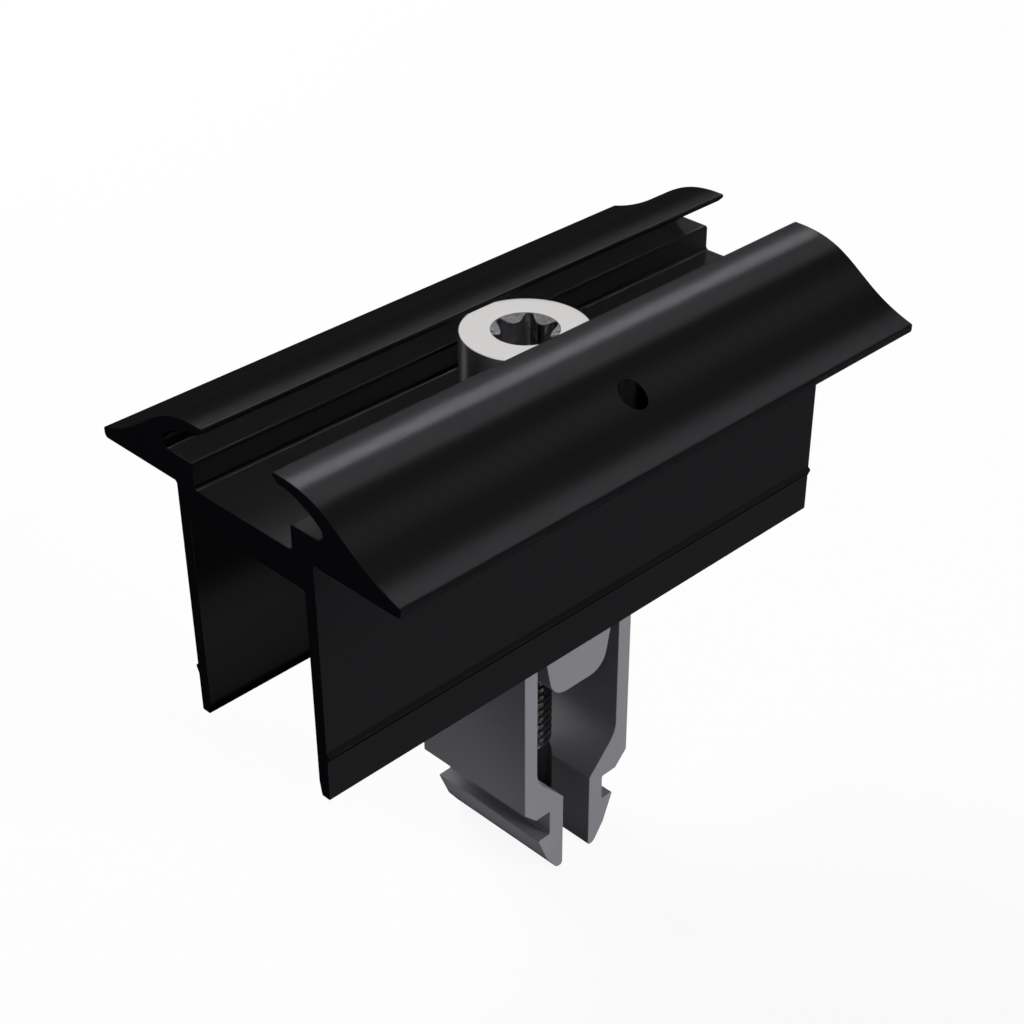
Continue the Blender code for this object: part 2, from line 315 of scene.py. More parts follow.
def carved(piece, *steps):
    """Apply Booleans to a piece, each step an operation and the other solid, and remove those solids."""
    for operation, other in steps:
        modifier = piece.modifiers.new(other.name, "BOOLEAN")
        modifier.operation = operation
        modifier.solver = "EXACT"
        modifier.object = other
    bpy.context.view_layer.update()
    graph = bpy.context.evaluated_depsgraph_get()
    mesh = bpy.data.meshes.new_from_object(piece.evaluated_get(graph))
    piece.modifiers.clear()
    old = piece.data
    piece.data = mesh
    bpy.data.meshes.remove(old)
    mesh.name = piece.name
    for _, other in steps:
        bpy.data.objects.remove(other, do_unlink=True)


def open_edges(piece):
    bm = bmesh.new()
    bm.from_mesh(piece.data)
    count = sum(not edge.is_manifold for edge in bm.edges)
    bm.free()
    return count


# %% Cut the clamp profile to length and drill it
profile_end_round = 0.06
web_hole_radius = 3.3
pin_hole_radius = 1.45
pin_hole_across = -14.0


def drill(name, radius, low, high, across=0):
    """A plain round cutter."""
    return turned(name, [(0, low), (radius, low), (radius, high), (0, high)], across)


profile = bar(
    "clamp_profile_dressed", profile_outline, profile_low.x, profile_high.x, "X", profile_end_round
)
web_drill = drill("web_drill", web_hole_radius, web_underside - PAST, channel_floor + PAST)
pin_drill = drill("pin_drill", pin_hole_radius, wing_underside - PAST, crest + PAST, pin_hole_across)
carved(profile, ("DIFFERENCE", web_drill), ("DIFFERENCE", pin_drill))
print("profile faces:", len(profile.data.polygons), "open edges:", open_edges(profile))

# %% [markdown]
# ## The thread
#
# The solids leave the M6 thread plain, and it is the detail that tells the eye how big the part is. A
# thread is a ridge wound round a core, one millimetre higher with each turn. It is drawn as a grid of
# points that follows the helix, so the edges of the ridge are real edges of the mesh, and then cut flat
# at both ends. A displaced cylinder would need many more faces for the same sharp crest. The same
# function makes the tap that cuts the nut, a little larger, so that screw and nut mesh at any height
# without touching.

# %% Wind a thread
PITCH = 1.0
THREAD_STEPS = 64
FLANK = tan(radians(30))


def threaded_rod(name, core, outer, crest_width, low, high, limit=None):
    """A solid with an outside thread about the screw's axis, cut flat at both ends; sizes in mm."""
    rise = (outer - core) * FLANK
    half_valley = (PITCH - crest_width) / 2 - rise
    knots = (
        (half_valley, core),
        (half_valley + rise, outer),
        (half_valley + rise + crest_width, outer),
        (PITCH - half_valley, core),
    )
    first_turn = int(low / PITCH) - 2
    turns = int((high - low) / PITCH) + 6
    bm = bmesh.new()
    columns = []
    for a in range(THREAD_STEPS):
        angle = 2 * pi * a / THREAD_STEPS
        column = []
        for turn in range(first_turn, first_turn + turns):
            for offset, radius in knots:
                up = PITCH * (turn + a / THREAD_STEPS) + offset
                if limit:
                    radius = limit(up, radius)
                column.append(bm.verts.new((radius * cos(angle) * MM, radius * sin(angle) * MM, up * MM)))
        columns.append(column)
    for a, here in enumerate(columns):
        there = columns[(a + 1) % THREAD_STEPS]
        one_turn_on = len(knots) if a == THREAD_STEPS - 1 else 0
        for i in range(len(here) - 1 - one_turn_on):
            j = i + one_turn_on
            bm.faces.new((here[i], there[j], there[j + 1], here[i + 1]))
    for up, is_low in ((low, True), (high, False)):
        everything = bm.verts[:] + bm.edges[:] + bm.faces[:]
        sliced = bmesh.ops.bisect_plane(
            bm, geom=everything, dist=1e-8, plane_co=(0, 0, up * MM), plane_no=(0, 0, 1),
            clear_inner=is_low, clear_outer=not is_low,
        )
        rim = [edge for edge in sliced["geom_cut"] if isinstance(edge, bmesh.types.BMEdge)]
        bmesh.ops.contextual_create(bm, geom=rim)
    return made_object(name, bm)


# %% [markdown]
# ## The clamp screw
#
# The screw is one piece of stainless steel: a head turned to a cylinder, a six-lobe recess pressed into
# it, and a rolled thread. The head is a turned profile with its edges rounded, the recess is a six-lobed
# prism with a shallow cone at its mouth, and the thread is joined on with a Boolean union, so the screw
# stays one solid.

# %% Make the clamp screw
head_radius = screw_high.y
head_top = screw_high.z
screw_seat = 51.88
screw_tip = screw_low.z
thread_outer = 2.925
thread_core = 2.39
thread_crest_width = 0.13
neck_radius = 2.675
runout_start = 47.9
tip_chamfer = 0.3
head_round = 0.17
shank_into_head = 0.6


def screw_limit(up, radius):
    """Chamfer the thread at the tip and let it run out into the neck."""
    radius = min(radius, thread_outer - tip_chamfer + max(up - screw_tip, 0))
    share = min(max((up - runout_start) / PITCH, 0), 1)
    return radius * (1 - share) + neck_radius * share


def edge_round(radius, up, size, side):
    """Points round a turned edge: side 1 is a top edge, -1 a bottom one."""
    points = []
    for step in range(EDGE_STEPS + 1):
        turn = pi / 2 * step / EDGE_STEPS
        points.append((radius - size * (1 - cos(turn)), up - side * size * (1 - sin(turn))))
    return points if side > 0 else points[::-1]


screw = turned("clamp_screw_dressed", [
    (0, screw_seat),
    *edge_round(head_radius, screw_seat, head_round, -1),
    *edge_round(head_radius, head_top, head_round, 1),
    (0, head_top),
])
shank = threaded_rod(
    "shank", thread_core, thread_outer, thread_crest_width,
    screw_tip, screw_seat + shank_into_head, screw_limit,
)

# %% Press the six-lobe recess
RECESS_TIP = 6.75 / 2
RECESS_WAIST = 4.85 / 2
RECESS_MOUTH = 6.86 / 2
RECESS_DEPTH = 4.0
LOBE_RADIUS = 0.55
LOBE_STEPS = 18
MOUTH_SLOPE = radians(30)
recess_turn = radians(38.5)


def six_lobes():
    """Six round lobes joined by six round crests, each arc meeting the next at a tangent."""
    lobe_centre = RECESS_TIP - LOBE_RADIUS
    share = cos(pi / 6)
    crest_radius = LOBE_RADIUS**2 - lobe_centre**2 - RECESS_WAIST**2
    crest_radius += 2 * lobe_centre * RECESS_WAIST * share
    crest_radius /= 2 * (RECESS_WAIST - lobe_centre * share - LOBE_RADIUS)
    crest_centre = RECESS_WAIST + crest_radius
    lobe_half = atan2(crest_centre * sin(pi / 6), crest_centre * share - lobe_centre)
    crest_half = lobe_half - pi / 6
    points = []
    for lobe in range(6):
        middle = recess_turn + lobe * pi / 3
        centre = Vector((cos(middle), sin(middle))) * lobe_centre
        for step in range(LOBE_STEPS + 1):
            angle = middle + lobe_half * (2 * step / LOBE_STEPS - 1)
            points.append((centre.x + LOBE_RADIUS * cos(angle), centre.y + LOBE_RADIUS * sin(angle)))
        middle += pi / 6
        centre = Vector((cos(middle), sin(middle))) * crest_centre
        for step in range(1, LOBE_STEPS):
            angle = middle + pi - crest_half * (2 * step / LOBE_STEPS - 1)
            points.append((centre.x + crest_radius * cos(angle), centre.y + crest_radius * sin(angle)))
    return points


def upright_prism(name, outline, low, high):
    bm = bmesh.new()
    bottom, top = ([bm.verts.new((x * MM, y * MM, up * MM)) for x, y in outline] for up in (low, high))
    for i in range(len(outline)):
        j = (i + 1) % len(outline)
        bm.faces.new((bottom[i], bottom[j], top[j], top[i]))
    bm.faces.new(bottom)
    bm.faces.new(top)
    return made_object(name, bm)


recess = upright_prism("recess", six_lobes(), head_top - RECESS_DEPTH, head_top + PAST)
mouth_depth = RECESS_MOUTH * tan(MOUTH_SLOPE)
mouth = turned("recess_mouth", [
    (0, head_top - mouth_depth),
    (RECESS_MOUTH * (mouth_depth + PAST) / mouth_depth, head_top + PAST),
    (0, head_top + PAST),
])
carved(screw, ("UNION", shank), ("DIFFERENCE", recess), ("DIFFERENCE", mouth))
print("screw faces:", len(screw.data.polygons), "open edges:", open_edges(screw))

# %% [markdown]
# ## The slot nut
#
# The nut is sawn from another extrusion, whose section runs the other way, across the rail. Two arms end
# in hooks, and between them hangs the boss that is tapped for the screw. A wider drill goes on between
# the hooks, which leaves a round groove in each of their inner faces, and that groove gives the screw its
# way down as the clamp is tightened.

# %% Draw the nut's section
nut_outside = nut_high.x
arm_thickness = 1.85
arm_inside = nut_outside - arm_thickness
arm_bend = 3.5
hook_inside = 2.05
hook_thickness = 2.08
notch_back = hook_inside + hook_thickness
barb_reach = 1.75
barb_tip = notch_back + barb_reach
barb_bottom = nut_low.z
barb_round = 0.9
hook_wall_top = 4.16
hook_slope_top = hook_wall_top + (arm_inside - hook_inside) * tan(radians(46.5))
bridge_thickness = 4.8
bridge_underside = nut_high.z - bridge_thickness
boss_length = 11.2
boss_end = nut_high.z - boss_length
boss_root = 5.12
boss_nose = 3.81
boss_round = 2.5
shoulder = 4.95
shoulder_width = 1.72
notch_top = 3.23
nut_outline = mirrored(corner_run([
    (0, nut_high.z, 0),
    (nut_outside, nut_high.z, die_round),
    (nut_outside, shoulder, die_round),
    (nut_outside - shoulder_width, notch_top, die_round),
    (notch_back, notch_top, 0.15),
    (notch_back, 0, 0.2),
    (barb_tip, 0, 0.15),
    (barb_tip - 1.4, -3.5, barb_round),
    (hook_inside + barb_round, barb_bottom, barb_round),
    (hook_inside, barb_bottom, barb_round / 2),
    (hook_inside, hook_wall_top, die_round),
    (arm_inside, hook_slope_top, arm_bend),
    (arm_inside, bridge_underside, 0.5),
    (boss_root, bridge_underside, 0.5),
    (boss_nose, boss_end, boss_round),
    (0, boss_end, 0),
]))

# %% Saw, drill and tap the nut
nut_end_round = 0.08
tap_core = 2.5
tap_radius = 3.0
tap_crest_width = 0.1
lead_in_radius = 3.2
lead_in_past = 0.6
groove_radius = 2.975
nut = bar("slot_nut_dressed", nut_outline, nut_low.y, nut_high.y, "Y", nut_end_round)
tap = threaded_rod("tap", tap_core, tap_radius, tap_crest_width, boss_end - PAST, nut_high.z + PAST)
lead_in = turned("lead_in", [
    (0, nut_high.z + lead_in_past - lead_in_radius),
    (lead_in_radius, nut_high.z + lead_in_past),
    (0, nut_high.z + lead_in_past),
])
groove_drill = drill("groove_drill", groove_radius, barb_bottom - PAST, boss_end - 1)
carved(nut, ("DIFFERENCE", tap), ("DIFFERENCE", lead_in), ("DIFFERENCE", groove_drill))
print("nut faces:", len(nut.data.polygons), "open edges:", open_edges(nut))

# %% [markdown]
# ## Smooth curves, crisp edges
#
# The curved faces are shaded smooth and the real corners stay sharp. Beside a tiny rounded edge, a large
# flat face would take on some of the edge's tilt and look swollen, so the normals are weighted by face
# area: the flat face wins, and the small round does all the turning.

# %% Shade the pieces
SHARP_FROM = radians(26)
for piece in (profile, screw, nut):
    piece.data.shade_smooth()
    piece.data.set_sharp_from_angle(angle=SHARP_FROM)
    weighted = piece.modifiers.new("flat faces stay flat", "WEIGHTED_NORMAL")
    weighted.mode = "FACE_AREA_WITH_ANGLE"
    weighted.keep_sharp = True

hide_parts("clamp_profile")
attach(profile, "clamp")
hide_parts("clamp_screw")
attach(screw, "screw")
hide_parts("slot_nut")
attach(nut, "nut")

# %% [markdown]
# ## Finishes
#
# Three metals, and three ways of making them: an extrusion that was dyed black in the anodising bath,
# steel that was turned, pressed and rolled, and an extrusion that was blasted. Each finish is a few
# nodes, and every pattern's scale comes from a real width in millimetres. Two small functions are enough:
# one turns the hex colours of a colour chart into the linear light Blender works with, and one adds a
# node with its settings and links.

# %% Colours and nodes


def linear(hex_colour):
    """A colour written as #RRGGBB in sRGB, as linear RGBA."""
    channels = [int(hex_colour[i : i + 2], 16) / 255 for i in (1, 3, 5)]
    return (*(c / 12.92 if c <= 0.04045 else ((c + 0.055) / 1.055) ** 2.4 for c in channels), 1)


def add(tree, kind, sockets=None, **settings):
    """Add a node, set its properties, and give each named socket a value or another node's output."""
    node = tree.nodes.new(kind)
    for name, value in settings.items():
        setattr(node, name, value)
    for name, value in (sockets or {}).items():
        if isinstance(value, bpy.types.NodeSocket):
            tree.links.new(value, node.inputs[name])
        else:
            node.inputs[name].default_value = value
    return node


def new_finish(name):
    finish = bpy.data.materials.new(name)
    finish.use_nodes = True
    finish.node_tree.nodes.clear()
    return finish, finish.node_tree


# %% [markdown]
# ### Black anodised aluminium, extruded
#
# Anodising grows a clear, hard oxide that takes up black dye. The metal below no longer shows, so it
# looks like satin black glass with a low sheen, and the die leaves hair-fine lines along the bar. They
# are about a tenth of a millimetre apart, drawn as 0.15 mm so that they still show, as a slight change of
# roughness and a very low bump. The dye drifts a little from one centimetre to the next. The sawn ends
# are rougher and paler, with faint arcs from the saw. Real ones lie a few tenths of a millimetre apart,
# and they are drawn as 1.9 mm.

# %% Finish: black anodised aluminium
DIE_LINE_WIDTH = 0.15
DIE_LINE_LENGTH = 50.0
DYE_DRIFT_WIDTH = 12.5
black_anodised, tree = new_finish("black anodised aluminium, extruded")
place = add(tree, "ShaderNodeTexCoord")
along_bar = add(tree, "ShaderNodeVectorMath", {
    0: place.outputs["Object"],
    1: (1 / DIE_LINE_LENGTH / MM, 1 / DIE_LINE_WIDTH / MM, 1 / DIE_LINE_WIDTH / MM),
}, operation="MULTIPLY")
die_lines = add(tree, "ShaderNodeTexNoise", {
    "Vector": along_bar.outputs["Vector"], "Scale": 1.0, "Detail": 2.0, "Roughness": 0.6,
})
sheen_range = add(tree, "ShaderNodeMapRange", {
    "Value": die_lines.outputs["Fac"], "To Min": 0.27, "To Max": 0.33,
})
dye_drift = add(tree, "ShaderNodeTexNoise", {
    "Vector": place.outputs["Object"], "Scale": 1 / DYE_DRIFT_WIDTH / MM, "Detail": 3.0,
})
dye = add(tree, "ShaderNodeMix", {
    "Factor": dye_drift.outputs["Fac"], "A": linear("#070709"), "B": linear("#0B0B0D"),
}, data_type="RGBA")
relief = add(tree, "ShaderNodeBump", {
    "Height": die_lines.outputs["Fac"], "Strength": 0.12, "Distance": 0.004 * MM,
})
surface = add(tree, "ShaderNodeBsdfPrincipled", {
    "Base Color": dye.outputs["Result"],
    "Metallic": 0.0,
    "Roughness": sheen_range.outputs["Result"],
    "Specular IOR Level": 0.0,
    "Coat Weight": 0.015,
    "Coat Roughness": 0.21,
    "Coat IOR": 3.2,
    "Coat Normal": relief.outputs["Normal"],
    "Normal": relief.outputs["Normal"],
})
add(tree, "ShaderNodeOutputMaterial", {"Surface": surface.outputs["BSDF"]})

# %% Finish: the sawn ends of the bar
SAW_MARK_SPACING = 1.885
WAVE_PERIOD = 2 * pi / 20  # the width of one wave of the Wave Texture at a scale of 1
sawn_black, tree = new_finish("black anodised aluminium, sawn")
place = add(tree, "ShaderNodeTexCoord")
saw_marks = add(tree, "ShaderNodeTexWave", {
    "Vector": place.outputs["Object"], "Scale": WAVE_PERIOD / SAW_MARK_SPACING / MM,
    "Distortion": 1.5, "Detail": 2.0,
}, wave_type="RINGS", rings_direction="X")
relief = add(tree, "ShaderNodeBump", {
    "Height": saw_marks.outputs["Fac"], "Strength": 0.1, "Distance": 0.005 * MM,
})
surface = add(tree, "ShaderNodeBsdfPrincipled", {
    "Base Color": linear("#26242C"),
    "Metallic": 0.0,
    "Roughness": 0.5,
    "Specular IOR Level": 0.0,
    "Coat Weight": 0.004,
    "Coat Roughness": 0.5,
    "Coat IOR": 2.5,
    "Normal": relief.outputs["Normal"],
})
add(tree, "ShaderNodeOutputMaterial", {"Surface": surface.outputs["BSDF"]})

# %% [markdown]
# ### Stainless steel, turned and cold formed
#
# The head is faced on a lathe, which leaves rings about 0.05 mm apart, and the steel below is bright and
# a little warm. The rings follow the distance from the screw's axis, drawn as 0.1 mm, and they soften the
# reflections. The recess is pressed and the thread is rolled. They keep the grey skin of the wire, which
# makes the same steel darker, but polished tools have made them smoother than the turned head. The
# colours of the recess floor and rim and of the thread also hold painted shade: the recess is deep, and
# the thread lies in the nut's shadow. In lines about 0.1 mm apart, drawn as 0.25 mm, the tools have
# rubbed the skin away, so the bright steel below shows in streaks. The punch has rubbed the recess's
# upright walls hardest. Its floor, its rim and the thread stay nearly even.

# %% Finish: stainless steel, turned
TURNING_RING_WIDTH = 0.1
turned_steel, tree = new_finish("stainless steel, turned")
place = add(tree, "ShaderNodeTexCoord")
flat_place = add(tree, "ShaderNodeVectorMath", {
    0: place.outputs["Object"], 1: (1, 1, 0),
}, operation="MULTIPLY")
from_axis = add(tree, "ShaderNodeVectorMath", {0: flat_place.outputs["Vector"]}, operation="LENGTH")
height = add(tree, "ShaderNodeSeparateXYZ", {"Vector": place.outputs["Object"]})
ring_place = add(tree, "ShaderNodeCombineXYZ", {
    "X": from_axis.outputs["Value"], "Y": height.outputs["Z"],
})
rings = add(tree, "ShaderNodeTexNoise", {
    "Vector": ring_place.outputs["Vector"], "Scale": 1 / TURNING_RING_WIDTH / MM, "Detail": 2.0,
})
ring_sheen = add(tree, "ShaderNodeMapRange", {
    "Value": rings.outputs["Fac"], "To Min": 0.26, "To Max": 0.34,
})
relief = add(tree, "ShaderNodeBump", {
    "Height": rings.outputs["Fac"], "Strength": 0.1, "Distance": 0.003 * MM,
})
surface = add(tree, "ShaderNodeBsdfPrincipled", {
    "Base Color": linear("#CECCCB"),
    "Metallic": 1.0,
    "Roughness": ring_sheen.outputs["Result"],
    "Normal": relief.outputs["Normal"],
})
add(tree, "ShaderNodeOutputMaterial", {"Surface": surface.outputs["BSDF"]})

# %% Finish: stainless steel, cold formed
SKIN_GRAIN_WIDTH = 0.25
STREAK_STRETCH = 0.05  # the pattern's rate of change upwards, as a share of its rate across


def cold_formed(name, skin_and_shade_colour, rubbed_and_shade_colour, streak_depth):
    """Smooth steel with upright streaks between two colours, its skin and metal rubbed bare, each set
    darker where it also paints shade.
    """
    finish, tree = new_finish(name)
    place = add(tree, "ShaderNodeTexCoord")
    drawn_place = add(tree, "ShaderNodeVectorMath", {
        0: place.outputs["Object"], 1: (1, 1, STREAK_STRETCH),
    }, operation="MULTIPLY")
    skin = add(tree, "ShaderNodeTexNoise", {
        "Vector": drawn_place.outputs["Vector"], "Scale": 1 / SKIN_GRAIN_WIDTH / MM, "Detail": 2.0,
    })
    rubbed = add(tree, "ShaderNodeMapRange", {
        "Value": skin.outputs["Fac"], "From Min": 0.38, "From Max": 0.66,
    })
    # between the skin and the bare metal; on the recess floor and rim and on the thread, both colours also
    # hold painted shade
    skin_and_shade_tone = add(tree, "ShaderNodeMix", {
        "Factor": rubbed.outputs["Result"], "A": linear(skin_and_shade_colour), "B": linear(rubbed_and_shade_colour),
    }, data_type="RGBA")
    relief = add(tree, "ShaderNodeBump", {
        "Height": skin.outputs["Fac"], "Strength": 0.6, "Distance": streak_depth * MM,
    })
    surface = add(tree, "ShaderNodeBsdfPrincipled", {
        "Base Color": skin_and_shade_tone.outputs["Result"],
        "Metallic": 1.0,
        "Roughness": 0.1,
        "Normal": relief.outputs["Normal"],
    })
    add(tree, "ShaderNodeOutputMaterial", {"Surface": surface.outputs["BSDF"]})
    return finish


pressed_walls = cold_formed("stainless steel, pressed recess walls", "#38383A", "#C0BFBE", 0.02)
# the floor and rim colours are set darker as painted shade for the deep recess
recess_floor_with_painted_shade = cold_formed("stainless steel, pressed recess floor and rim", "#626263", "#7E7D7C", 0.004)
# the thread colours are set darker as painted shade, for the thread lying in the nut's shadow
rolled_thread_with_painted_shade = cold_formed("stainless steel, rolled thread, with painted shade", "#78787A", "#A09F9E", 0.004)

# %% [markdown]
# ### Plain aluminium, blasted
#
# The nut carries no colour, only the thin skin that aluminium grows by itself. Blasting has taken its
# shine, so it scatters light almost like grey paint. Its grain is about 0.1 mm, drawn as 0.2 mm. Inside
# the tapped bore and the grooves below it the metal is freshly cut, so there it still shines a little,
# and the cutter's marks run round it, as fine as the grain and drawn as wide.

# %% Finish: plain aluminium
GRAIN_WIDTH = 0.2
plain_aluminium, tree = new_finish("plain aluminium, blasted")
place = add(tree, "ShaderNodeTexCoord")
grain = add(tree, "ShaderNodeTexNoise", {
    "Vector": place.outputs["Object"], "Scale": 1 / GRAIN_WIDTH / MM, "Detail": 3.0,
})
grain_tone = add(tree, "ShaderNodeMix", {
    "Factor": grain.outputs["Fac"], "A": linear("#88888D"), "B": linear("#909095"),
}, data_type="RGBA")
relief = add(tree, "ShaderNodeBump", {
    "Height": grain.outputs["Fac"], "Strength": 0.08, "Distance": 0.01 * MM,
})
surface = add(tree, "ShaderNodeBsdfPrincipled", {
    "Base Color": grain_tone.outputs["Result"],
    "Metallic": 0.1,
    "Roughness": 0.55,
    "Specular IOR Level": 0.2,
    "Normal": relief.outputs["Normal"],
})
add(tree, "ShaderNodeOutputMaterial", {"Surface": surface.outputs["BSDF"]})

# %% Finish: plain aluminium, freshly cut
drilled_aluminium, tree = new_finish("plain aluminium, drilled and tapped")
place = add(tree, "ShaderNodeTexCoord")
cut_place = add(tree, "ShaderNodeVectorMath", {
    0: place.outputs["Object"], 1: (0.1, 0.1, 1),
}, operation="MULTIPLY")
cut_marks = add(tree, "ShaderNodeTexNoise", {
    "Vector": cut_place.outputs["Vector"], "Scale": 1 / GRAIN_WIDTH / MM, "Detail": 2.0,
})
relief = add(tree, "ShaderNodeBump", {
    "Height": cut_marks.outputs["Fac"], "Strength": 0.1, "Distance": 0.006 * MM,
})
surface = add(tree, "ShaderNodeBsdfPrincipled", {
    "Base Color": linear("#8E8E92"),
    "Metallic": 1.0,
    "Roughness": 0.35,
    "Normal": relief.outputs["Normal"],
})
add(tree, "ShaderNodeOutputMaterial", {"Surface": surface.outputs["BSDF"]})

# %% Give each piece its finish
NEARLY_LEVEL = 0.3
NEARLY_SQUARE = 0.95
END_DEPTH = 0.1


def give_finishes(piece, finishes, choose):
    """Give a piece its finishes, and each of its faces the one that choose names by number."""
    piece.data.materials.clear()
    for finish in finishes:
        piece.data.materials.append(finish)
    for face in piece.data.polygons:
        face.material_index = choose(face)
    print(piece.name, "finishes:", ", ".join(finish.name for finish in finishes))


def profile_finish(face):
    """Sawn on the two ends, extruded elsewhere."""
    sawn = abs(face.normal.x) > NEARLY_SQUARE and abs(face.center.x) > (profile_high.x - END_DEPTH) * MM
    return 1 if sawn else 0


def screw_finish(face):
    """Rolled on the neck and thread, pressed in the recess, turned elsewhere."""
    across = face.center.xy.length / MM
    up = face.center.z / MM
    if up < screw_seat + 0.1 and across < neck_radius + 0.4:
        return 3
    if across < RECESS_MOUTH + 0.01 and up < head_top - 0.01:
        return 2 if face.normal.z > NEARLY_LEVEL else 1
    return 0


def nut_finish(face):
    """Freshly cut where a face lies wholly on the tapped bore or a groove, blasted elsewhere."""
    widest = max(nut.data.vertices[i].co.xy.length for i in face.vertices) / MM
    return 1 if widest < tap_radius + 0.1 else 0


give_finishes(profile, (black_anodised, sawn_black), profile_finish)
give_finishes(screw, (turned_steel, pressed_walls, recess_floor_with_painted_shade, rolled_thread_with_painted_shade), screw_finish)
give_finishes(nut, (plain_aluminium, drilled_aluminium), nut_finish)

# %% [markdown]
# ## Studio
#
# The photograph is a product shot on white: no horizon, and hardly a shadow. The floor is a pale disc
# under the hooks. It shows the camera, and the metal, nearly its own white, and keeps a share of real
# light, so the soft shadow stays.

# %% Lay the floor
FLOOR_RADIUS = 0.6
FLOOR_GAP = 0.1
FLOOR_WHITE = 1.04
FLOOR_BOUNCE = 0.07
SHADOW_SHARE = 0.12


def seen_any(tree):
    """1 where the camera looks, straight or through the sheen of metal or glass; 0 where light falls."""
    seen = add(tree, "ShaderNodeLightPath")
    seen_or_mirrored = add(tree, "ShaderNodeMath", {
        0: seen.outputs["Is Camera Ray"], 1: seen.outputs["Is Glossy Ray"],
    }, operation="MAXIMUM")
    any_way = add(tree, "ShaderNodeMath", {
        0: seen_or_mirrored.outputs["Value"], 1: seen.outputs["Is Transmission Ray"],
    }, operation="MAXIMUM")
    return any_way.outputs["Value"]


bm = bmesh.new()
bmesh.ops.create_circle(bm, cap_ends=True, segments=128, radius=FLOOR_RADIUS)
bmesh.ops.translate(bm, verts=bm.verts, vec=(0, 0, (nut_low.z - FLOOR_GAP) * MM))
floor = made_object("studio_floor", bm)
floor_white, tree = new_finish("white floor")
floor_seen = seen_any(tree)
glow_share = add(tree, "ShaderNodeMath", {0: floor_seen, 1: 1 - SHADOW_SHARE}, operation="MULTIPLY")
floor_tone = add(tree, "ShaderNodeMix", {
    "Factor": floor_seen, "A": (FLOOR_BOUNCE, FLOOR_BOUNCE, FLOOR_BOUNCE, 1), "B": (1, 1, 1, 1),
}, data_type="RGBA")
lit = add(tree, "ShaderNodeBsdfDiffuse", {"Color": floor_tone.outputs["Result"]})
glow = add(tree, "ShaderNodeEmission", {"Color": (1, 1, 1, 1), "Strength": FLOOR_WHITE})
floor_mix = add(tree, "ShaderNodeMixShader", {
    "Fac": glow_share.outputs["Value"], 1: lit.outputs["BSDF"], 2: glow.outputs["Emission"],
})
add(tree, "ShaderNodeOutputMaterial", {"Surface": floor_mix.outputs["Shader"]})
floor.data.materials.append(floor_white)

# %% Light the room
ROOM_LIGHT = 0.06
world = bpy.data.worlds.new("white studio")
bpy.context.scene.world = world
world.use_nodes = True
tree = world.node_tree
tree.nodes.clear()
room = add(tree, "ShaderNodeBackground", {"Color": (1, 1, 1, 1), "Strength": ROOM_LIGHT})
white = add(tree, "ShaderNodeBackground", {"Color": (1, 1, 1, 1), "Strength": 1.0})
world_mix = add(tree, "ShaderNodeMixShader", {
    "Fac": seen_any(tree), 1: room.outputs["Background"], 2: white.outputs["Background"],
})
add(tree, "ShaderNodeOutputWorld", {"Surface": world_mix.outputs["Shader"]})

# %% [markdown]
# ### Lamps
#
# A long bar shows a lamp as a band along its whole length, and the band's place across the curve depends
# only on the lamp's angle around the bar. So each lamp that makes a highlight is a strip that lies along
# the bar, placed by that angle. The black finish mirrors so little that its strips have to be bright, so
# they are linked to the profile alone, as a photographer flags a lamp off the rest. In a real studio the
# light bounces on into every hollow, and the strips that cast no shadows stand in for those bounces: they
# draw the fine light lines along the edges of the channel. Two soft lamps light the matt faces.

# %% Hang the strips
def only(name, *pieces):
    """A collection that a lamp's light is linked to."""
    group = bpy.data.collections.new(name)
    for piece in pieces:
        group.objects.link(piece)
    return group


COOL_WHITE = (0.97, 0.97, 1.02)
BAR_MIDDLE = 0.055
only_profile = only("lit by the strips", profile)
only_screw = only("lit by the screw's cards", screw)
only_nut = only("lit by the nut's card", nut)


def without_shadows(data):
    """Let a lamp show in the sheen of hollows too, as if nothing stood in its way."""
    data.use_shadow = False
    data.cycles.use_multiple_importance_sampling = False


def strip_lamp(name, angle, arc, radiance, shadows=True, distance=0.6, low_end=-0.1, high_end=0.8):
    """A strip along the bar, at an angle from straight up towards the front wing; its width is an arc."""
    data = bpy.data.lights.new(name, "AREA")
    data.shape = "RECTANGLE"
    data.size = high_end - low_end
    data.size_y = 2 * distance * tan(radians(arc / 2))
    # a lamp's power is its radiance times its area and pi
    data.energy = radiance * pi * data.size * data.size_y
    data.color = COOL_WHITE
    lamp = bpy.data.objects.new(name, data)
    bpy.context.scene.collection.objects.link(lamp)
    turn = radians(angle)
    lamp.location = ((low_end + high_end) / 2, -distance * sin(turn), BAR_MIDDLE + distance * cos(turn))
    lamp.rotation_euler = (turn, 0, 0)
    lamp.visible_camera = False
    lamp.visible_diffuse = False
    lamp.light_linking.receiver_collection = only_profile
    if not shadows:
        without_shadows(data)


strip_lamp("rear strip", -53, 10, 4.6)
strip_lamp("near rear strip for hollows", -50, 24, 1.4, shadows=False, high_end=0.4)
strip_lamp("far rear strip for hollows", -50, 24, 0.75, shadows=False, low_end=0.4)
strip_lamp("crest strip", -36, 13, 17.0)
strip_lamp("crest strip for hollows", -36, 13, 20.0, shadows=False)
strip_lamp("back strip for hollows", -12, 20, 7.0, shadows=False)
strip_lamp("front strip", 26, 12, 3.1)

# %% Hang the soft lamps
CLAMP_MIDDLE = 0.03


